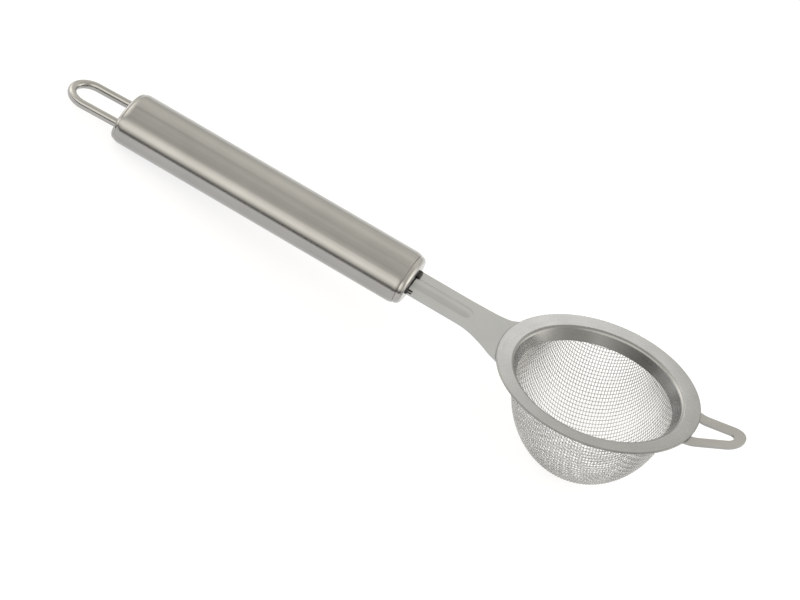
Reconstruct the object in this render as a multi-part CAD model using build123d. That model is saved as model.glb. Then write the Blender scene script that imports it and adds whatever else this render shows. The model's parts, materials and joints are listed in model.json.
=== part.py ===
from build123d import *
import os
from math import asin, cos, degrees, hypot, radians, sin, sqrt, tan

# Hand-held tea strainer: a woven wire bowl clamped in a hemmed brim, a stamped shank, a hollow oval
# handle with a wire hanging loop, and a flat hook opposite the handle.
#
# It is modelled in the rim frame, in millimetres: the origin is the centre of the mouth on the brim's
# top face, +X points to the front hook, the handle runs to -X, and +Z leaves the mouth. At the end every
# piece is laid down as the strainer lies on a table, and moved so that the origin is the centre of the
# bottom of its bounding box.

# Brim: one sheet, hemmed at its outer edge, dished a little inwards, and rolled down into a conical collar
BRIM_R = 35.1
SHEET = 0.22
MESH_T = 0.3
BRIM_T = 2 * SHEET + MESH_T
COLLAR_R = 26.7
COLLAR_DEPTH = 4.8
CORNER_R = 28.9
DISH = 0.6
ROLL_R = 1.6
HEM_R = 30.4

# Bowl of woven wire, its flange clamped inside the hem; below the collar it leans a little forwards
BOWL_DEPTH = 36.6
BOWL_LEAN = 0.037
FLANGE_R = 34.4

# Handle tube: an oval section on an axis that rises away from the brim
OVAL_A = 12.5
OVAL_B = 7.75
WALL = 0.6
HANDLE_PITCH = 6.2
HANDLE_X = -35.0
AXIS_HEIGHT = 0.42
TUBE_START = 36.7
TUBE_LENGTH = 107.2
END_R = 4.3
END_LENGTH = 1.9

# End caps: a rounded head outside the tube and a skirt inside it
CAP_INSET = 0.6
CAP_WALL = 0.7
CAP_SKIRT = 6.0
SKIRT_INSET = 1.3
SEAM_R = 0.2
FRONT_HEAD = 2.3
FRONT_EDGE_R = 1.9
REAR_HEAD = 1.2
REAR_EDGE_R = 0.9

# Shank: a stamped strip with a flared root and a raised rib
STRIP_T = 0.8
SHANK_W = 14.8
FLARE_R = 32.2
FLARE_START = 50.5
FLARE_END = 32.0
STRIP_END_R = 30.0
ROOT_BEND_X = 35.6
ROOT_BEND_R = 5.0
RISE_X = 46.0
RISE_BEND_R = 40.0
TANG_LENGTH = 14.0
RIB_W = 6.2
RIB_H = 0.8
RIB_START = 14.7
SLOT_GAP = 0.05

# Front hook: a flat strip bent into a rounded triangle, its legs under the brim
HOOK_OUTER_X = 44.5
HOOK_OUTER_R = 6.6
HOOK_INNER_X = 45.25
HOOK_INNER_R = 2.15
HOOK_HALF_ANGLE = 14.8
HOOK_BEND_X = 36.2
HOOK_BEND_R = 8.0
HOOK_PITCH = 14.7

# Hanging loop of round wire
WIRE_D = 3.0
LOOP_SPAN = 13.0
LOOP_REACH = 21.9
LOOP_TAIL = 8.0
LOOP_LEAN = 2.8
LOOP_DROP = 0.4
HOLE_GAP = 0.05

# Welds
SPOT_D = 2.6
SPOT_H = 0.1
SPOT_POCKET = 0.15
SHANK_SPOTS = (-195, -180, -165)
HOOK_SPOTS = (-12.5, 12.5)
BEAD = 0.9
TANG_BEAD_LENGTH = 10.0

# Black residue in the corner between the shank and the front cap
BLOB_SIZE = (2.4, 4.0, 1.8)
BLOB_Y = 4.2
BLOB_EDGE_R = 0.6
BLOB_LIFT = 0.3
SMEAR_D = 0.5
SMEAR_LIFT = 0.1
KNOT_D = 1.7
KNOT_Y = -7.2
PRONGS_Y = (-5.7, -7.2)
PRONG_LENGTH = 2.0

# Working sizes: a half-length longer than any strip, a margin past a face, and two tolerances
CUT = 60.0
MARGIN = 1.0
NEAR = 0.01
TILT_LIMIT = 45.0
TILT_STEP = 1e-9

os.makedirs("parts", exist_ok=True)

edge_r = BRIM_R - BRIM_T / 2
dish_slope = DISH / (edge_r - CORNER_R)
wall_run = (CORNER_R - COLLAR_R) / (COLLAR_DEPTH - DISH)
wall_widening = hypot(1, wall_run)
bowl_inner_r = COLLAR_R + SHEET * wall_widening
bowl_outer_r = COLLAR_R + (SHEET + MESH_T) * wall_widening
strip_top = -SHEET - (edge_r - STRIP_END_R) * dish_slope
strip_level = strip_top - STRIP_T / 2
strip_base = strip_top - STRIP_T

slope = radians(HANDLE_PITCH)
seam_front = TUBE_START
seam_rear = TUBE_START + TUBE_LENGTH
face_front = seam_front - FRONT_HEAD
face_rear = seam_rear + REAR_HEAD

# The handle's own frame: its z runs back along the tube's axis from the brim's edge, and its x across.
handle = Plane(
    origin=(HANDLE_X, 0, AXIS_HEIGHT),
    x_dir=(0, 1, 0),
    z_dir=(-cos(slope), 0, sin(slope)),
)

handle_up = Vector(sin(slope), 0, cos(slope))


def oval(start, end, inset=0.0):
    """A solid oval bar on the handle's axis between two distances, this much smaller than the tube."""
    section = handle.offset(start) * Ellipse(OVAL_A - inset, OVAL_B - inset)
    return extrude(section, end - start)


def edges_at(solid, distance):
    """The edges of a handle solid that lie in the section plane at this distance."""
    centre = handle.offset(distance).origin
    return [e for e in solid.edges() if abs((e.center() - centre).dot(handle.z_dir)) < NEAR]


def rounded_oval(start, end, inset, radius):
    """An oval bar with both of its ends rounded over by this radius."""
    bar = oval(start, end, inset)
    return fillet(edges_at(bar, start) + edges_at(bar, end), radius)


def revolved(profile):
    """A solid of revolution about the bowl's axis, from a closed outline in the XZ plane."""
    return revolve(Plane.XZ * make_face(profile), Axis.Z)


def dip(radius):
    """How far the dished brim has dropped at this radius."""
    return (edge_r - radius) * dish_slope


def skin(depth, start_r):
    """The brim's dish, roll and conical wall, this far below its top face, from this radius inwards."""
    foot = COLLAR_R + depth * wall_widening
    level = dip(foot + wall_run * COLLAR_DEPTH) + depth
    corner_z = -level / (1 - dish_slope * wall_run)
    corner = (foot + wall_run * (corner_z + COLLAR_DEPTH), corner_z)
    start = (start_r, -dip(start_r) - depth)
    return FilletPolyline(start, corner, (foot, -COLLAR_DEPTH), radius=ROLL_R - depth)


def brim_ring():
    """Dished brim, rolled inner edge, conical collar and hem as one bent sheet."""
    hem_r = BRIM_T / 2
    lip = SHEET - BRIM_T
    drop = dip(HEM_R)
    profile = [
        skin(0, edge_r),
        Line((COLLAR_R, -COLLAR_DEPTH), (bowl_inner_r, -COLLAR_DEPTH)),
        skin(SHEET, edge_r),
        ThreePointArc((edge_r, -SHEET), (edge_r + MESH_T / 2, -hem_r), (edge_r, lip)),
        Line((edge_r, lip), (HEM_R, lip - drop)),
        Line((HEM_R, lip - drop), (HEM_R, -BRIM_T - drop)),
        Line((HEM_R, -BRIM_T - drop), (edge_r, -BRIM_T)),
        ThreePointArc((edge_r, -BRIM_T), (BRIM_R, -hem_r), (edge_r, 0)),
    ]
    return revolved(profile)


def mesh_bowl():
    """The woven bowl as a closed skin: a flange in the hem, a conical neck, then half an ellipsoid."""
    low = SHEET + MESH_T
    drop = dip(FLANGE_R)
    neck = [
        skin(SHEET, FLANGE_R),
        Line((bowl_inner_r, -COLLAR_DEPTH), (bowl_outer_r, -COLLAR_DEPTH)),
        skin(low, FLANGE_R),
        Line((FLANGE_R, -low - drop), (FLANGE_R, -SHEET - drop)),
    ]
    depth = BOWL_DEPTH - COLLAR_DEPTH
    inner_depth = depth - MESH_T
    quarter = {"start_angle": 0, "arc_size": 90, "rotation": -90}
    lower = [
        EllipticalCenterArc((0, 0), inner_depth, bowl_inner_r, **quarter),
        Line((0, -inner_depth), (0, -depth)),
        EllipticalCenterArc((0, 0), depth, bowl_outer_r, **quarter),
        Line((bowl_outer_r, 0), (bowl_inner_r, 0)),
    ]
    lean = Matrix([[1, 0, -BOWL_LEAN, 0], [0, 1, 0, 0], [0, 0, 1, 0]])
    return revolved(neck) + Pos(0, 0, -COLLAR_DEPTH) * revolved(lower).transform_geometry(lean)


def spots(angles, height, top):
    """Flat round discs in a row under the middle of the hem, hanging down from this level."""
    middle = (BRIM_R + HEM_R) / 2
    places = [(middle * cos(radians(a)), middle * sin(radians(a))) for a in angles]
    return [Pos(x, y, top - height / 2) * Cylinder(SPOT_D / 2, height) for x, y in places]


def pocketed(strip, angles):
    """A strip with a shallow round dimple for each spot weld in its underside."""
    for dimple in spots(angles, SPOT_POCKET, strip_base + SPOT_POCKET):
        strip -= dimple
    return strip


def spot_welds(angles):
    """The spot welds' discs, a little below flush in their dimples."""
    return spots(angles, SPOT_H, strip_base + SPOT_POCKET)


def bent_strip(points, radius, width):
    """A flat strip whose centre line is a filleted polyline in the XZ plane, and that line itself."""
    line = FilletPolyline(*[(x, 0, z) for x, z in points], radius=radius)
    start = Plane(origin=line @ 0, x_dir=(0, 1, 0), z_dir=line % 0)
    return sweep(start * Rectangle(width, STRIP_T), path=line), line


def upright(outline):
    """A tall prism over a closed plan outline, taller than the bent strips."""
    return extrude(Plane.XY.offset(-CUT / 2) * make_face(outline), CUT)


def shank_outline():
    """The shank from above: straight sides, a flared root, and an end that follows the collar."""
    half = SHANK_W / 2
    back = handle.offset(seam_front + TANG_LENGTH).origin.X - CAP_SKIRT
    flare_half = half + FLARE_R - sqrt(FLARE_R**2 - (FLARE_START - FLARE_END) ** 2)
    shrink = STRIP_END_R / hypot(FLARE_END, flare_half)
    outline = [Line((back, half), (back, -half))]
    for side in (1, -1):
        centre = (-FLARE_START, side * (half + FLARE_R))
        turn = side * degrees(asin((FLARE_START - FLARE_END) / FLARE_R))
        outline += [
            Line((back, side * half), (-FLARE_START, side * half)),
            CenterArc(centre, FLARE_R, -side * 90, turn),
            Line((-FLARE_END, side * flare_half), (-FLARE_END * shrink, side * flare_half * shrink)),
        ]
    root = (-FLARE_END * shrink, flare_half * shrink)
    outline.append(ThreePointArc(root, (-STRIP_END_R, 0), (root[0], -root[1])))
    return outline


def shank():
    """The stamped strip: a level root, a rise to the handle's axis, a tang in the tube, and the rib."""
    rise = handle.offset(HANDLE_X + RISE_X).origin
    tang = handle.offset(seam_front + TANG_LENGTH).origin
    points = [
        (-BRIM_R / 2, strip_level),
        (-ROOT_BEND_X, strip_level),
        (rise.X, rise.Z),
        (tang.X, tang.Z),
    ]
    strip, line = bent_strip(points, [ROOT_BEND_R, RISE_BEND_R], CUT)
    blank = strip & upright(shank_outline())
    rib_r = ((RIB_W / 2) ** 2 + RIB_H**2) / (2 * RIB_H)
    drop = rib_r - RIB_H - STRIP_T / 2
    start = Plane(
        origin=handle.offset(RIB_START).origin - handle_up * drop,
        x_dir=handle.x_dir,
        z_dir=handle.z_dir,
    )
    rib_end = face_front - RIB_START - STRIP_T / 2
    above = make_face([
        line,
        Polyline(line @ 1, Vector((line @ 1).X, 0, CUT), Vector((line @ 0).X, 0, CUT), line @ 0),
    ])
    rib = (start * Sphere(rib_r) + extrude(start * Circle(rib_r), rib_end)) & extrude(above, CUT, both=True)
    hollow_r = rib_r - STRIP_T
    hollow = start * Sphere(hollow_r) + extrude(start * Circle(hollow_r), rib_end - STRIP_T)
    return pocketed(blank + rib - hollow, SHANK_SPOTS)


def handle_tube():
    """The hollow oval handle, open at both ends, where its wall turns in."""
    reach = END_R - END_LENGTH
    outer = rounded_oval(seam_front - reach, seam_rear + reach, 0, END_R)
    inner_reach = reach - WALL
    inner = rounded_oval(seam_front - inner_reach, seam_rear + inner_reach, WALL, END_R - WALL)
    return (outer & oval(seam_front, seam_rear, -MARGIN)) - inner


def cap(seam, face, edge_r):
    """A domed cap: its head stands outside the seam and its hollow skirt reaches inside the tube."""
    rear = face > seam
    head = oval(min(seam, face), max(seam, face), CAP_INSET)
    head = fillet(edges_at(head, face), edge_r)
    head = fillet(edges_at(head, seam), SEAM_R)
    skirt_end = seam - CAP_SKIRT if rear else seam + CAP_SKIRT
    inner_face = face - CAP_WALL if rear else face + CAP_WALL
    root = face - edge_r if rear else face + edge_r
    skirt = oval(min(root, skirt_end), max(root, skirt_end), SKIRT_INSET)
    hollow_inset = SKIRT_INSET + CAP_WALL
    hollow = oval(min(inner_face, skirt_end), max(inner_face, skirt_end), hollow_inset)
    return head + skirt - hollow


def front_cap():
    """The front cap, with the slot that the shank's tang passes through."""
    slot = handle.offset(face_front - MARGIN) * Rectangle(SHANK_W + 2 * SLOT_GAP, STRIP_T + 2 * SLOT_GAP)
    return cap(seam_front, face_front, FRONT_EDGE_R) - extrude(slot, CAP_SKIRT)


def loop_bar(diameter):
    """A round bar bent into a U behind the rear cap, its legs leaning a little to one side."""
    half = LOOP_SPAN / 2
    turn = LOOP_REACH - WIRE_D / 2 - half
    low = handle.offset(face_rear).origin - handle_up * LOOP_DROP
    flat = Plane(origin=low, x_dir=handle.z_dir, z_dir=handle_up)
    leg = Line((-LOOP_TAIL, half), (turn, half))
    bend = ThreePointArc((turn, half), (turn + half, 0), (turn, -half))
    path = flat.rotated((0, 0, LOOP_LEAN)) * Wire([leg, bend, Line((turn, -half), (-LOOP_TAIL, -half))])
    start = Plane(origin=path @ 0, z_dir=path % 0)
    return sweep(start * Circle(diameter / 2), path=path)


def rear_cap():
    """The rear cap, with two holes for the legs of the hanging loop."""
    return cap(seam_rear, face_rear, REAR_EDGE_R) - loop_bar(WIRE_D + 2 * HOLE_GAP)


def loop_weld_beads():
    """A weld collar round each leg of the loop, against the inside of the rear cap."""
    top = face_rear - CAP_WALL
    collars = []
    for side in (1, -1):
        place = handle.offset(top - BEAD) * Pos(side * LOOP_SPAN / 2, LOOP_DROP)
        foot = place * Circle(WIRE_D / 2 + BEAD)
        collars.append(extrude(foot, BEAD) - loop_bar(WIRE_D))
    return collars


def tang_weld_beads():
    """A weld fillet above and below the tang, against the inside of the front cap."""
    beads = []
    base = handle.offset(face_front + CAP_WALL).origin
    side_on = Plane(origin=base, x_dir=handle.z_dir, z_dir=(0, 1, 0))
    for side in (1, -1):
        low = side * STRIP_T / 2
        corner = [(0, low), (BEAD, low), (0, low + side * BEAD)]
        fillet_face = side_on * make_face(Polyline(*corner, close=True))
        beads.append(extrude(fillet_face, TANG_BEAD_LENGTH / 2, both=True))
    return beads


def hook_side(centre_x, radius, side):
    """A straight side of the hook's triangle: its point on the tip's arc, and its root under the brim."""
    lean = radians(HOOK_HALF_ANGLE)
    near_x = centre_x + radius * sin(lean)
    near_y = radius * cos(lean)
    run = near_x - BRIM_R / 2
    return (near_x, side * near_y), (BRIM_R / 2, side * (near_y + run * tan(lean)))


def hook_outline():
    """The hook from above: a rounded triangle inside another, its open side under the brim."""
    outer_tip = HOOK_OUTER_X + HOOK_OUTER_R
    inner_tip = HOOK_INNER_X + HOOK_INNER_R
    outer_a, outer_root_a = hook_side(HOOK_OUTER_X, HOOK_OUTER_R, 1)
    outer_b, outer_root_b = hook_side(HOOK_OUTER_X, HOOK_OUTER_R, -1)
    inner_a, inner_root_a = hook_side(HOOK_INNER_X, HOOK_INNER_R, 1)
    inner_b, inner_root_b = hook_side(HOOK_INNER_X, HOOK_INNER_R, -1)
    return [
        Line(outer_root_a, outer_a),
        ThreePointArc(outer_a, (outer_tip, 0), outer_b),
        Line(outer_b, outer_root_b),
        Line(outer_root_b, inner_root_b),
        Line(inner_root_b, inner_b),
        ThreePointArc(inner_b, (inner_tip, 0), inner_a),
        Line(inner_a, inner_root_a),
        Line(inner_root_a, outer_root_a),
    ]


def front_hook():
    """The rounded triangle of flat strip, level under the brim and bent upwards beyond it."""
    far_x = HOOK_OUTER_X + HOOK_OUTER_R + STRIP_T
    rise = (far_x - HOOK_BEND_X) * tan(radians(HOOK_PITCH))
    points = [(BRIM_R / 2, strip_level), (HOOK_BEND_X, strip_level), (far_x, strip_level + rise)]
    strip = bent_strip(points, HOOK_BEND_R, CUT)[0]
    hook = (strip & upright(hook_outline())) - Cylinder(STRIP_END_R, CUT)
    return pocketed(hook, HOOK_SPOTS)


def root_notches():
    """The space in the hem and the mesh's flange that the shank's root and the hook's legs take up."""
    below = Pos(0, 0, strip_top - CUT / 2) * Cylinder(CUT, CUT)
    legs = upright(hook_outline()) - Cylinder(STRIP_END_R, CUT)
    return (upright(shank_outline()) + legs) & below


def joint_residue(shank_body, cap_body):
    """Black residue on the shank against the front cap: a blob, a smear, and a knot with two prongs."""
    corner = handle.offset(face_front).origin + handle_up * (STRIP_T / 2)
    forward = -handle.z_dir
    blob = Pos(corner + handle_up * BLOB_LIFT + Vector(0, BLOB_Y, 0)) * Box(*BLOB_SIZE)
    blob = fillet(blob.edges(), BLOB_EDGE_R)
    smear_at = corner + (forward + handle_up) * SMEAR_LIFT + Vector(0, (BLOB_Y + KNOT_Y) / 2, 0)
    smear = Pos(smear_at) * Rot(90, 0, 0) * Cylinder(SMEAR_D / 2, BLOB_Y - KNOT_Y)
    residue = blob + smear + Pos(corner + Vector(0, KNOT_Y, 0)) * Sphere(KNOT_D / 2)
    for y in PRONGS_Y:
        foot = Plane(origin=corner + handle_up * SMEAR_LIFT + Vector(0, y, 0), z_dir=forward)
        residue += extrude(foot * Circle(SMEAR_D / 2), PRONG_LENGTH)
    return residue - shank_body - cap_body - oval(face_front, seam_front, SKIRT_INSET)


def bowl_reach(tilt):
    """How far the bowl reaches below the origin when the mouth is tilted."""
    across = bowl_outer_r * sin(tilt)
    down = (BOWL_DEPTH - COLLAR_DEPTH) * (cos(tilt) - BOWL_LEAN * sin(tilt))
    return COLLAR_DEPTH * cos(tilt) + hypot(across, down)


def tube_reach(tilt):
    """How far the tube's rear shoulder reaches below the origin when the mouth is tilted."""
    centre = handle.offset(seam_rear - END_LENGTH).origin - handle_up * (OVAL_B - END_R)
    return END_R - centre.X * sin(tilt) - centre.Z * cos(tilt)


def resting_tilt():
    """The tilt at which the bowl and the tube's rear end touch the table together."""
    low, high = 0.0, radians(TILT_LIMIT)
    while high - low > TILT_STEP:
        middle = (low + high) / 2
        if bowl_reach(middle) > tube_reach(middle):
            low = middle
        else:
            high = middle
    return low


shank_body = shank()
front_cap_body = front_cap()
notches = root_notches()
pieces = {
    "handle_tube": handle_tube(),
    "front_cap": front_cap_body,
    "rear_cap": rear_cap(),
    "hanging_loop": loop_bar(WIRE_D),
    "loop_weld_beads": loop_weld_beads(),
    "shank": shank_body,
    "tang_weld_beads": tang_weld_beads(),
    "brim_ring": brim_ring() - notches,
    "mesh_bowl": mesh_bowl() - notches,
    "front_hook": front_hook(),
    "shank_spot_welds": spot_welds(SHANK_SPOTS),
    "hook_spot_welds": spot_welds(HOOK_SPOTS),
    "joint_residue": joint_residue(shank_body, front_cap_body),
}

tilt = resting_tilt()
laid = Rot(0, -degrees(tilt), 0)
solids = {}
for name, piece in pieces.items():
    bodies = piece if isinstance(piece, list) else piece.solids()
    solids[name] = [laid * body for body in bodies]
box = Compound([body for bodies in solids.values() for body in bodies]).bounding_box()
centred = Pos(-box.center().X, -box.center().Y, -box.min.Z)
for name, bodies in solids.items():
    moved = [centred * body for body in bodies]
    whole = Compound(moved) if len(moved) > 1 else moved[0]
    export_step(whole, f"parts/{name}.step")
print(f"tilt {degrees(tilt):.4f} deg, shift {centred.position}")
print(f"size {box.size}")
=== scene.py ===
import json
import math

import bmesh
import bpy
import numpy as np
from mathutils import Matrix, Vector


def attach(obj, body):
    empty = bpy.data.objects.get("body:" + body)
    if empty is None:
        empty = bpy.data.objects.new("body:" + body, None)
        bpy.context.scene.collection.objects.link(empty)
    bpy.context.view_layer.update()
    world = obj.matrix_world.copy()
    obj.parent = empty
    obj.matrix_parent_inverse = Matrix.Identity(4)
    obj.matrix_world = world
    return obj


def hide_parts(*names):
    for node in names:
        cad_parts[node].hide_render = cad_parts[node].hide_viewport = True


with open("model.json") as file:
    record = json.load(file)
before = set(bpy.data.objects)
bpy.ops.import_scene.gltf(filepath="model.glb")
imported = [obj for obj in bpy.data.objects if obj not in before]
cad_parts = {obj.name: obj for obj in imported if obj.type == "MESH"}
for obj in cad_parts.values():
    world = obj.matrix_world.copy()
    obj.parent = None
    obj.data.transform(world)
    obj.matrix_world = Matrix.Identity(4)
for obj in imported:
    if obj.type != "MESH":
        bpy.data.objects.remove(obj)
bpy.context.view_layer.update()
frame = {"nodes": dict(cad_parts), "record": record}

scene = bpy.context.scene
MM = 0.001


# ---------------------------------------------------------------- frames
def placed(origin, axes):
    """The matrix of a frame with this origin and these three axes."""
    return Matrix.Translation(origin) @ Matrix(axes).transposed().to_4x4()


# The rim frame: origin in the middle of the mouth, Z out of the mouth, X to the front hook.
mouth = next(m for m in frame["record"]["mounts"] if m["name"] == "mouth")
rim_z = Vector(mouth["axis"]).normalized()
rim_y = Vector((0, 1, 0))
rim_x = rim_y.cross(rim_z)
rim_to_row = placed(Vector(mouth["pos_m"]), (rim_x, rim_y, rim_z))

# The handle frame: origin on the handle's line at the brim's rear edge, Z along the handle, X across it.
HANDLE_AT = (-35.0, 0, 0.42)
HANDLE_PITCH = math.radians(6.2)
handle_z = Vector((-math.cos(HANDLE_PITCH), 0, math.sin(HANDLE_PITCH)))
handle_x = Vector((0, 1, 0))
handle_y = handle_z.cross(handle_x)
handle_to_row = rim_to_row @ placed(Vector(HANDLE_AT) * MM, (handle_x, handle_y, handle_z))


def row(points):
    """Points in the rim frame, in millimetres, as points in the row frame, in metres."""
    p = np.asarray(points, float).reshape(-1, 3) * MM
    return np.array(mouth["pos_m"]) + p @ np.array((rim_x, rim_y, rim_z))


# ---------------------------------------------------------------- camera
# The camera's place in the rim frame, in millimetres, and its axes there.
CAM_AT = (62.647, -697.072, 483.588)
CAM_RIGHT = (0.89347, 0.35989, 0.2687)
CAM_DOWN = (0.42135, -0.46451, -0.7789)
CAM_AHEAD = (-0.15551, 0.80914, -0.56667)
LENS = 117.0
SENSOR = 36.0


def add_object(name, data):
    obj = bpy.data.objects.new(name, data)
    scene.collection.objects.link(obj)
    return obj


def add_camera():
    data = bpy.data.cameras.new("camera")
    data.lens = LENS
    data.sensor_width = SENSOR
    data.clip_start = 0.05
    data.clip_end = 20
    camera = add_object("camera", data)
    axes = (Vector(CAM_RIGHT), -Vector(CAM_DOWN), -Vector(CAM_AHEAD))
    camera.matrix_world = rim_to_row @ placed(Vector(CAM_AT) * MM, axes)
    scene.camera = camera


add_camera()


# ---------------------------------------------------------------- material helpers
def math_node(tree, operation, *values):
    """A math node; each value is a number or a socket."""
    node = tree.nodes.new("ShaderNodeMath")
    node.operation = operation
    for socket, value in zip(node.inputs, values):
        if isinstance(value, (int, float)):
            socket.default_value = value
        else:
            tree.links.new(value, socket)
    return node.outputs[0]


def joined(tree, values):
    """A vector from three sockets."""
    node = tree.nodes.new("ShaderNodeCombineXYZ")
    for value, socket in zip(values, node.inputs):
        tree.links.new(value, socket)
    return node.outputs[0]


def space(tree, matrix):
    """The three coordinates of a point in the frame that this matrix places, in metres."""
    coords = tree.nodes.new("ShaderNodeTexCoord")
    values = []
    for line in matrix.inverted()[:3]:
        dot = tree.nodes.new("ShaderNodeVectorMath")
        dot.operation = "DOT_PRODUCT"
        tree.links.new(coords.outputs["Object"], dot.inputs[0])
        dot.inputs[1].default_value = line[:3]
        values.append(math_node(tree, "ADD", dot.outputs["Value"], line[3]))
    return values


def scaled(tree, vector, scale):
    node = tree.nodes.new("ShaderNodeMapping")
    node.inputs["Scale"].default_value = scale
    tree.links.new(vector, node.inputs["Vector"])
    return node.outputs[0]


def noise(tree, vector, scale, detail, rough):
    node = tree.nodes.new("ShaderNodeTexNoise")
    node.inputs["Scale"].default_value = scale
    node.inputs["Detail"].default_value = detail
    node.inputs["Roughness"].default_value = rough
    tree.links.new(vector, node.inputs["Vector"])
    return node.outputs["Fac"]


def spread(tree, value, start, end, low, high):
    """The value mapped from start..end to low..high, and held at the ends."""
    node = tree.nodes.new("ShaderNodeMapRange")
    node.inputs["From Min"].default_value = start
    node.inputs["From Max"].default_value = end
    node.inputs["To Min"].default_value = low
    node.inputs["To Max"].default_value = high
    tree.links.new(value, node.inputs["Value"])
    return node.outputs[0]


def blended(tree, first, second, share):
    """A weighted mean of two values, with this share of the first."""
    return math_node(tree, "MULTIPLY_ADD", first, share, math_node(tree, "MULTIPLY", second, 1 - share))


def ramp(tree, value, stops):
    node = tree.nodes.new("ShaderNodeValToRGB")
    band = node.color_ramp
    while len(band.elements) < len(stops):
        band.elements.new(0.5)
    for element, (at, colour) in zip(band.elements, stops):
        element.position = at
        element.color = (*colour, 1)
    tree.links.new(value, node.inputs["Fac"])
    return node.outputs["Color"]


def material(name):
    new = bpy.data.materials.new(name)
    new.use_nodes = True
    return new, new.node_tree, new.node_tree.nodes["Principled BSDF"]


def bump(tree, shader, height, strength, distance):
    node = tree.nodes.new("ShaderNodeBump")
    node.inputs["Strength"].default_value = strength
    node.inputs["Distance"].default_value = distance
    tree.links.new(height, node.inputs["Height"])
    tree.links.new(node.outputs["Normal"], shader.inputs["Normal"])


# ---------------------------------------------------------------- steels
# The span of a noise's values that a colour ramp and a roughness range are stretched over.
TONE_LOW, TONE_HIGH = 0.36, 0.64
GRAIN_LOW, GRAIN_HIGH = 0.35, 0.65
SCRATCH_DEPTH = 0.00003
CLOUD_SCALE = 60.0
CLOUD_SHARE = 0.35
LINE_SHARE = 0.45


def steel(low, high, warm=0.0):
    """Two ends of a colour ramp for steel, a little warm or cool."""
    return [(at, (tone * (1 + warm), tone, tone * (1 - warm))) for at, tone in ((0.0, low), (1.0, high))]


def brushed(name, matrix, grain, colours, rough, broad_grain, scratches=0.12):
    """Satin steel: fine grain lines, broader streaks, a cloudy colour, and shallow scratches.

    The two grains are noise scales along the frame's axes: the lines run along the smallest.
    """
    new, tree, shader = material(name)
    local = joined(tree, space(tree, matrix))
    lines = noise(tree, scaled(tree, local, grain), 1.0, 6.0, 0.62)
    broad = noise(tree, scaled(tree, local, broad_grain), 1.0, 3.0, 0.5)
    cloud = noise(tree, local, CLOUD_SCALE, 3.0, 0.55)
    streaks = blended(tree, lines, broad, LINE_SHARE)
    tone = spread(tree, blended(tree, cloud, streaks, CLOUD_SHARE), TONE_LOW, TONE_HIGH, 0, 1)
    tree.links.new(ramp(tree, tone, colours), shader.inputs["Base Color"])
    tree.links.new(spread(tree, streaks, GRAIN_LOW, GRAIN_HIGH, *rough), shader.inputs["Roughness"])
    shader.inputs["Metallic"].default_value = 1.0
    bump(tree, shader, lines, scratches, SCRATCH_DEPTH)
    return new


# The brim's rolled inner edge is polished: smoother, and with its base colour brightened as a painted
# highlight. It starts at the first radius and is full at the second, and below the roll, on the collar,
# only a part of it is left.
ROLL_START, ROLL_FULL = 0.0292, 0.0286
ROLL_FOOT, ROLL_TOP = -0.0012, -0.0008
ROLL_POLISH_AND_HIGHLIGHT = 0.5
COLLAR_SHARE = 0.3
ROLL_HIGHLIGHT_GAIN = 0.45
POLISH_SMOOTHING = 0.4
SPUN_SCALE = 5000.0
SPUN_TURN = 3.0
SPUN_CLOUD_SCALE = 90.0
SPUN_SCRATCHES = 0.05


def spun(name, colours, rough):
    """Spun steel: grain lines that run round the rim's axis, and a polished inner edge with a painted
    highlight.
    """
    new, tree, shader = material(name)
    x, y, z = space(tree, rim_to_row)
    squares = math_node(tree, "ADD", math_node(tree, "MULTIPLY", x, x), math_node(tree, "MULTIPLY", y, y))
    radius = math_node(tree, "SQRT", squares)
    angle = math_node(tree, "ARCTAN2", y, x)
    across = math_node(tree, "MULTIPLY", radius, SPUN_SCALE)
    sine = math_node(tree, "MULTIPLY", math_node(tree, "SINE", angle), SPUN_TURN)
    cosine = math_node(tree, "MULTIPLY", math_node(tree, "COSINE", angle), SPUN_TURN)
    down = math_node(tree, "MULTIPLY_ADD", z, SPUN_SCALE, cosine)
    lines = noise(tree, joined(tree, (across, sine, down)), 1.0, 5.0, 0.6)
    cloud = noise(tree, joined(tree, (x, y, z)), SPUN_CLOUD_SCALE, 4.0, 0.6)
    tone = spread(tree, blended(tree, cloud, lines, 0.5), TONE_LOW, TONE_HIGH, 0, 1)
    inner = spread(tree, radius, ROLL_START, ROLL_FULL, 0, ROLL_POLISH_AND_HIGHLIGHT)
    height = spread(tree, z, ROLL_FOOT, ROLL_TOP, COLLAR_SHARE, 1)
    polish_and_highlight = math_node(tree, "MULTIPLY", inner, height)
    tinted = tree.nodes.new("ShaderNodeVectorMath")
    tinted.operation = "SCALE"
    tree.links.new(ramp(tree, tone, colours), tinted.inputs[0])
    # The polished edge's brighter base colour is a painted highlight; its lower roughness is real polish.
    tree.links.new(math_node(tree, "MULTIPLY_ADD", polish_and_highlight, ROLL_HIGHLIGHT_GAIN, 1.0), tinted.inputs["Scale"])
    tree.links.new(tinted.outputs[0], shader.inputs["Base Color"])
    satin = spread(tree, lines, GRAIN_LOW, GRAIN_HIGH, *rough)
    smooth = math_node(tree, "MULTIPLY_ADD", polish_and_highlight, -POLISH_SMOOTHING, 1.0)
    tree.links.new(math_node(tree, "MULTIPLY", satin, smooth), shader.inputs["Roughness"])
    shader.inputs["Metallic"].default_value = 1.0
    bump(tree, shader, lines, SPUN_SCRATCHES, SCRATCH_DEPTH)
    return new


CRUMB_SCALE = 1600.0
CRUMB_DEPTH = 0.0002


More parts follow.
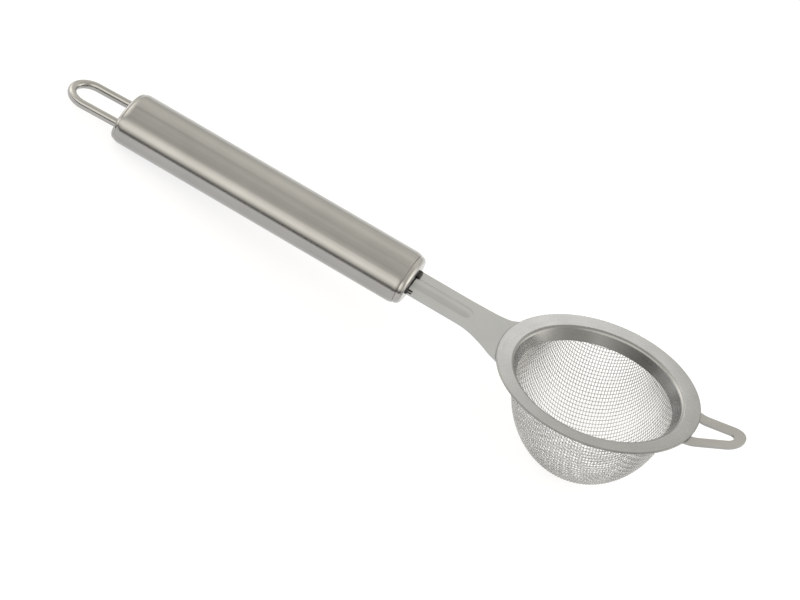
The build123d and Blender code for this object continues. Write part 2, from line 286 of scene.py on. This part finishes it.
def crumbly(name):
    """The matt black residue at the handle's front joint."""
    new, tree, shader = material(name)
    crumbs = noise(tree, joined(tree, space(tree, rim_to_row)), CRUMB_SCALE, 5.0, 0.65)
    colour = ramp(tree, crumbs, [(0.3, (0.004, 0.004, 0.004)), (0.8, (0.03, 0.03, 0.028))])
    tree.links.new(colour, shader.inputs["Base Color"])
    tree.links.new(spread(tree, crumbs, 0.3, 0.7, 0.35, 0.75), shader.inputs["Roughness"])
    bump(tree, shader, crumbs, 0.6, CRUMB_DEPTH)
    return new


# The parts are all of one steel. The brim's base colour is darker and the shank's lighter as painted shade
# and painted light, to copy how light falls on each.
tube_steel = brushed(
    "tube_steel", handle_to_row, (2600, 2600, 14), steel(0.315, 0.385, 0.02), (0.18, 0.27), (420, 420, 6)
)
cap_steel = brushed(
    "cap_steel", handle_to_row, (900, 3000, 900), steel(0.34, 0.42, 0.02), (0.15, 0.26), (150, 150, 150)
)
shank_steel = brushed(
    "shank_steel", handle_to_row, (2400, 2400, 30), steel(0.41, 0.47, -0.018), (0.3, 0.42), (120, 120, 30),
    scratches=0.08,
)
hook_steel = brushed(
    "hook_steel", rim_to_row, (40, 2600, 2600), steel(0.32, 0.37, 0.012), (0.26, 0.38), (60, 200, 200),
    scratches=0.08,
)
# The brim's low base colour is painted shade.
brim_steel = spun("brim_steel", steel(0.245, 0.285), (0.235, 0.3))
loop_steel = brushed(
    "loop_wire", handle_to_row, (2200, 2200, 60), steel(0.33, 0.42, 0.02), (0.12, 0.24), (200, 200, 40),
    scratches=0.05,
)
weld_metal = brushed(
    "weld_metal", rim_to_row, (500, 500, 500), steel(0.3, 0.46, 0.02), (0.4, 0.6), (200, 200, 200),
    scratches=0.3,
)
wire_steel = brushed(
    "mesh_wire", rim_to_row, (900, 900, 900), steel(0.45, 0.6, 0.01), (0.16, 0.3), (110, 110, 110),
    scratches=0.05,
)

NODE_MATERIALS = {
    "handle_tube": tube_steel,
    "front_cap": cap_steel,
    "rear_cap": cap_steel,
    "hanging_loop": loop_steel,
    "loop_weld_beads": weld_metal,
    "shank": shank_steel,
    "tang_weld_beads": weld_metal,
    "brim_ring": brim_steel,
    "front_hook": hook_steel,
    "shank_spot_welds": weld_metal,
    "hook_spot_welds": weld_metal,
    "joint_residue": crumbly("residue"),
}
for node_name, node_material in NODE_MATERIALS.items():
    slots = frame["nodes"][node_name].data.materials
    slots.clear()
    slots.append(node_material)

# ---------------------------------------------------------------- woven bowl
# Sizes are in millimetres, in the rim frame. PITCH is the distance between crossings along a warp wire
# and along a weft wire, and CRIMP is how far a wire's centre line leaves the middle surface at one.
PITCH = (1.04, 1.3)
WIRE_R = 0.125
CRIMP = 0.13
HEM_CRIMP = 0.35 * CRIMP
GRID_TURN = math.radians(15)
SIDES = 6

# The bowl below BOWL_Z is an ellipsoid with half axes BOWL_A across and BOWL_C down. Above it is a cone
# that widens by NECK_RUN for each unit of height, up to NECK_TOP, where it bends out into the flange.
BOWL_A = 27.04
BOWL_C = 31.54
BOWL_Z = -4.8
LEAN = 0.037
NECK_RUN = 0.524
NECK_TOP = -1.53
BEND_R = 1.23
DISH = math.radians(5.9)
FLANGE_REACH = 2.0
HEM_START = NECK_TOP - 0.4

# The net goes up to NET_TOP above the mouth and has at most NET_REACH knots each way from its middle.
NET_TOP = 6
NET_REACH = 60
LANDING_STEPS = 6
NEWTON_STEPS = 14
EXACT = 1e-7
CLOSE = 1e-4
LEAST_DIAGONAL = 0.1
NECK_SLOPE = math.hypot(1, NECK_RUN)
NECK_STEEP = math.atan2(1, NECK_RUN)


def length(v):
    return math.sqrt(v.dot(v))


def surface(p):
    """The bowl's middle surface as a function that is zero on it, and its gradient.

    It is an ellipsoid below BOWL_Z, with a slight forward lean, and a cone above.
    """
    x, y, z = p
    d = z - BOWL_Z
    if d < 0:
        xs = x + LEAN * d
        f = (xs * xs + y * y) / BOWL_A**2 + d * d / BOWL_C**2 - 1
        g = (2 * xs / BOWL_A**2, 2 * y / BOWL_A**2, 2 * d / BOWL_C**2 + 2 * xs * LEAN / BOWL_A**2)
    else:
        r = BOWL_A + NECK_RUN * d
        f = (x * x + y * y) / r**2 - 1
        g = (2 * x / r**2, 2 * y / r**2, -2 * NECK_RUN * (x * x + y * y) / r**3)
    return f, np.array(g)


def onto(p):
    """The point moved onto the middle surface."""
    for _ in range(LANDING_STEPS):
        f, g = surface(p)
        p = p - g * (f / g.dot(g))
    return p


def normal(p):
    _, g = surface(p)
    return g / length(g)


def third(a, b, start):
    """The point on the surface one pitch along from a and one pitch across from b, near start."""
    p = start.copy()
    longest = PITCH[0] / 2
    for _ in range(NEWTON_STEPS):
        f, g = surface(p)
        da = p - a
        db = p - b
        misses = np.array((da.dot(da) - PITCH[0] ** 2, db.dot(db) - PITCH[1] ** 2, f))
        try:
            step = np.linalg.solve(np.array((2 * da, 2 * db, g)), misses)
        except np.linalg.LinAlgError:
            return None
        size = length(step)
        if size > longest:
            step *= longest / size
        p = p - step
        if size < EXACT:
            break
    return p if size < CLOSE else None


def spine(knots, start, turn, way, side):
    """Knots in a straight line over the surface from its bottom, one side apart, up to the mouth."""
    p = start
    ahead = np.array((math.cos(turn), math.sin(turn), 0.0))
    for k in range(1, NET_REACH):
        n = normal(p)
        ahead = ahead - n * ahead.dot(n)
        ahead /= length(ahead)
        q = onto(p + ahead * side)
        q = onto(p + (q - p) * side / length(q - p))
        ahead = q - p
        p = q
        knots[way[0] * k, way[1] * k] = p
        if p[2] > NET_TOP:
            break


def quarter(knots, si, sj):
    """The knots of one quarter, each found from the two before it."""
    for i in range(1, NET_REACH):
        for j in range(1, NET_REACH):
            a = knots.get((si * (i - 1), sj * j))
            b = knots.get((si * i, sj * (j - 1)))
            c = knots.get((si * (i - 1), sj * (j - 1)))
            if a is None or b is None or c is None or (a[2] > NET_TOP and b[2] > NET_TOP):
                continue
            p = third(a, b, onto(a + b - c))
            if p is not None and length(p - c) > LEAST_DIAGONAL:
                knots[si * i, sj * j] = p


def net():
    """A net laid over the bowl from its bottom: each knot is one pitch from its neighbours."""
    bottom = onto(np.array((LEAN * BOWL_C, 0.0, BOWL_Z - BOWL_C)))
    knots = {(0, 0): bottom}
    for axis, way in enumerate(((1, 0), (0, 1), (-1, 0), (0, -1))):
        spine(knots, bottom, GRID_TURN + axis * math.pi / 2, way, PITCH[axis % 2])
    for si, sj in ((1, 1), (1, -1), (-1, 1), (-1, -1)):
        quarter(knots, si, sj)
    return knots


knots = net()


def folded(p):
    """A surface point and its normal, with the cone above the neck bent outwards into the flange."""
    rise = p[2] - NECK_TOP
    if rise <= 0:
        return p, normal(p)
    way = rise * NECK_SLOPE
    turn = max(NECK_STEEP - way / BEND_R, DISH)
    past = max(way - BEND_R * (NECK_STEEP - DISH), 0.0)
    out = BEND_R * (math.sin(NECK_STEEP) - math.sin(turn)) + past * math.cos(DISH)
    lift = BEND_R * (math.cos(turn) - math.cos(NECK_STEEP)) + past * math.sin(DISH)
    around = np.array((p[0], p[1], 0.0)) / math.hypot(p[0], p[1])
    up = np.array((0.0, 0.0, 1.0))
    top_r = BOWL_A + NECK_RUN * (NECK_TOP - BOWL_Z)
    return around * (top_r + out) + up * (NECK_TOP + lift), around * math.sin(turn) - up * math.cos(turn)


def wire_path(run, side):
    """A wire's centre line and the surface's normals along it: over one crossing, under the next."""
    centres = []
    normals = []
    for k, (key, p) in enumerate(run):
        q, n = folded(p)
        over = side if (key[0] + key[1]) % 2 else -side
        centres.append(q + n * over * (CRIMP if p[2] < HEM_START else HEM_CRIMP))
        normals.append(n)
        if k + 1 < len(run):
            q, n = folded(onto((p + run[k + 1][1]) / 2))
            centres.append(q)
            normals.append(n)
    return np.array(centres), np.array(normals)


def runs(along):
    """Unbroken runs of knots along one family of wires, cut where the flange ends."""
    run = []
    last = None
    top = NECK_TOP + FLANGE_REACH / NECK_SLOPE
    for key in sorted(knots, key=lambda k: (k[1 - along], k[along])):
        p = knots[key]
        follows = last is not None and key[1 - along] == last[1 - along] and key[along] == last[along] + 1
        if not follows or p[2] > top:
            if len(run) > 1:
                yield run
            run = []
        if p[2] <= top:
            run.append((key, p))
        last = key
    if len(run) > 1:
        yield run


def tube(centres, normals, first):
    """The corners and faces of a thin closed tube, with corner numbers from first."""
    ahead = np.gradient(centres, axis=0)
    ahead /= np.linalg.norm(ahead, axis=1)[:, None]
    side = np.cross(ahead, normals)
    side /= np.linalg.norm(side, axis=1)[:, None]
    up = np.cross(side, ahead)
    verts = []
    for c, u, v in zip(centres, side, up):
        for k in range(SIDES):
            a = 2 * math.pi * k / SIDES
            verts.append(c + WIRE_R * (math.cos(a) * u + math.sin(a) * v))
    faces = []
    end = first + (len(centres) - 1) * SIDES
    for ring in range(first, end, SIDES):
        for k in range(SIDES):
            a = ring + k
            b = ring + (k + 1) % SIDES
            faces.append((a, b, b + SIDES, a + SIDES))
    faces.append(tuple(range(first + SIDES - 1, first - 1, -1)))
    faces.append(tuple(range(end, end + SIDES)))
    return verts, faces


def weave(name, along, side):
    """All the wires of one family as one mesh of thin tubes."""
    verts = []
    faces = []
    for run in runs(along):
        centres, normals = wire_path(run, side)
        new_verts, new_faces = tube(centres, normals, len(verts))
        verts += new_verts
        faces += new_faces
    mesh = bpy.data.meshes.new(name)
    mesh.from_pydata(row(verts).tolist(), [], faces)
    mesh.update()
    mesh.shade_smooth()
    bm = bmesh.new()
    bm.from_mesh(mesh)
    bmesh.ops.recalc_face_normals(bm, faces=bm.faces)
    bm.to_mesh(mesh)
    bm.free()
    piece = add_object(name, mesh)
    mesh.materials.append(wire_steel)
    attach(piece, "root")
    return piece


warp = weave("mesh_warp", 0, 1)
weft = weave("mesh_weft", 1, -1)
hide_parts("mesh_bowl")
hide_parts("mesh_bowl")

# ---------------------------------------------------------------- floor
FLOOR_HALF = 3.0
FLOOR_TONE = 0.32
FLOOR_GLOW = 0.76


def add_floor():
    """A plain pale floor that glows a little, so that shadows on it stay faint."""
    h = FLOOR_HALF
    mesh = bpy.data.meshes.new("floor")
    mesh.from_pydata([(-h, -h, 0), (h, -h, 0), (h, h, 0), (-h, h, 0)], [], [(0, 1, 2, 3)])
    floor_white, _, shader = material("floor_white")
    shader.inputs["Base Color"].default_value = (FLOOR_TONE, FLOOR_TONE, FLOOR_TONE, 1)
    shader.inputs["Roughness"].default_value = 1.0
    shader.inputs["Specular IOR Level"].default_value = 0.0
    shader.inputs["Emission Color"].default_value = (1, 1, 1, 1)
    shader.inputs["Emission Strength"].default_value = FLOOR_GLOW
    mesh.materials.append(floor_white)
    return add_object("floor", mesh)


floor = add_floor()

# ---------------------------------------------------------------- light
# Brightness of the surroundings round the X axis: 0 degrees is level behind the object, 90 is overhead
# and 180 is level in front of it.
SKY = (
    (-90, 0.9), (-2, 0.9), (4, 0.6), (25, 0.9), (42, 0.97), (50, 0.84), (56, 0.66), (63, 0.78), (75, 0.72),
    (101, 0.66), (108, 0.82), (114, 1.28), (134, 1.52), (146, 1.25), (157, 0.7), (168, 0.06), (180, 0.03),
    (182, 0.9), (270, 0.9),
)
SKY_TOP = 2.0
SKY_LEVEL = 1.2 * SKY_TOP
WARM = (1.02, 0.995, 0.91)
SIDE_BOOST = 1.3
FRONT_DIM = 0.55


def add_world():
    """A soft studio: a ramp from low behind, over the top, to low in front.

    It is brighter far out to both sides behind the object, and dimmer at the right in front.
    """
    world = bpy.data.worlds.new("studio")
    world.use_nodes = True
    scene.world = world
    tree = world.node_tree
    background = tree.nodes["Background"]
    coords = tree.nodes.new("ShaderNodeTexCoord")
    parts = tree.nodes.new("ShaderNodeSeparateXYZ")
    tree.links.new(coords.outputs["Generated"], parts.inputs[0])
    x, y, z = parts.outputs
    quarter_on = math_node(tree, "ADD", math_node(tree, "ARCTAN2", z, y), math.pi / 2)
    angle = math_node(tree, "FLOORED_MODULO", quarter_on, 2 * math.pi)
    share = math_node(tree, "MULTIPLY", angle, 1 / (2 * math.pi))
    stops = [((degrees + 90) / 360, tuple(value / SKY_TOP * w for w in WARM)) for degrees, value in SKY]
    tree.links.new(ramp(tree, share, stops), background.inputs["Color"])
    behind = spread(tree, y, -0.1, 0.2, 0, 1)
    far_side = spread(tree, math_node(tree, "ABSOLUTE", x), 0.5, 0.8, 0, 1)
    boost = math_node(tree, "MULTIPLY", far_side, behind)
    bright = math_node(tree, "MULTIPLY_ADD", boost, SIDE_BOOST * SKY_LEVEL, SKY_LEVEL)
    in_front = spread(tree, y, -0.1, -0.3, 0, 1)
    dim = math_node(tree, "MULTIPLY", spread(tree, x, 0.3, 0.55, 0, 1), in_front)
    kept = math_node(tree, "MULTIPLY_ADD", dim, -FRONT_DIM, 1.0)
    tree.links.new(math_node(tree, "MULTIPLY", bright, kept), background.inputs["Strength"])


def add_lamp(name, at, aim, size, power, receivers):
    """A small soft light that only falls on these objects."""
    data = bpy.data.lights.new(name, "AREA")
    data.size = size
    data.energy = power
    lamp = add_object(name, data)
    lamp.location = at
    lamp.rotation_mode = "QUATERNION"
    lamp.rotation_quaternion = (Vector(aim) - Vector(at)).to_track_quat("-Z", "Y")
    lamp.visible_camera = False
    lit = bpy.data.collections.new(name + "_lit")
    for receiver in receivers:
        lit.objects.link(receiver)
    lamp.light_linking.receiver_collection = lit


add_world()
add_lamp(
    "brim_light", at=(0.012, 0.169, 0.159), aim=(0.05, 0.02, 0.03), size=0.05, power=0.015,
    receivers=[frame["nodes"]["brim_ring"]],
)

scene.view_settings.view_transform = "Standard"
scene.view_settings.look = "None"
scene.view_settings.exposure = 0.0
scene.view_settings.gamma = 1.0
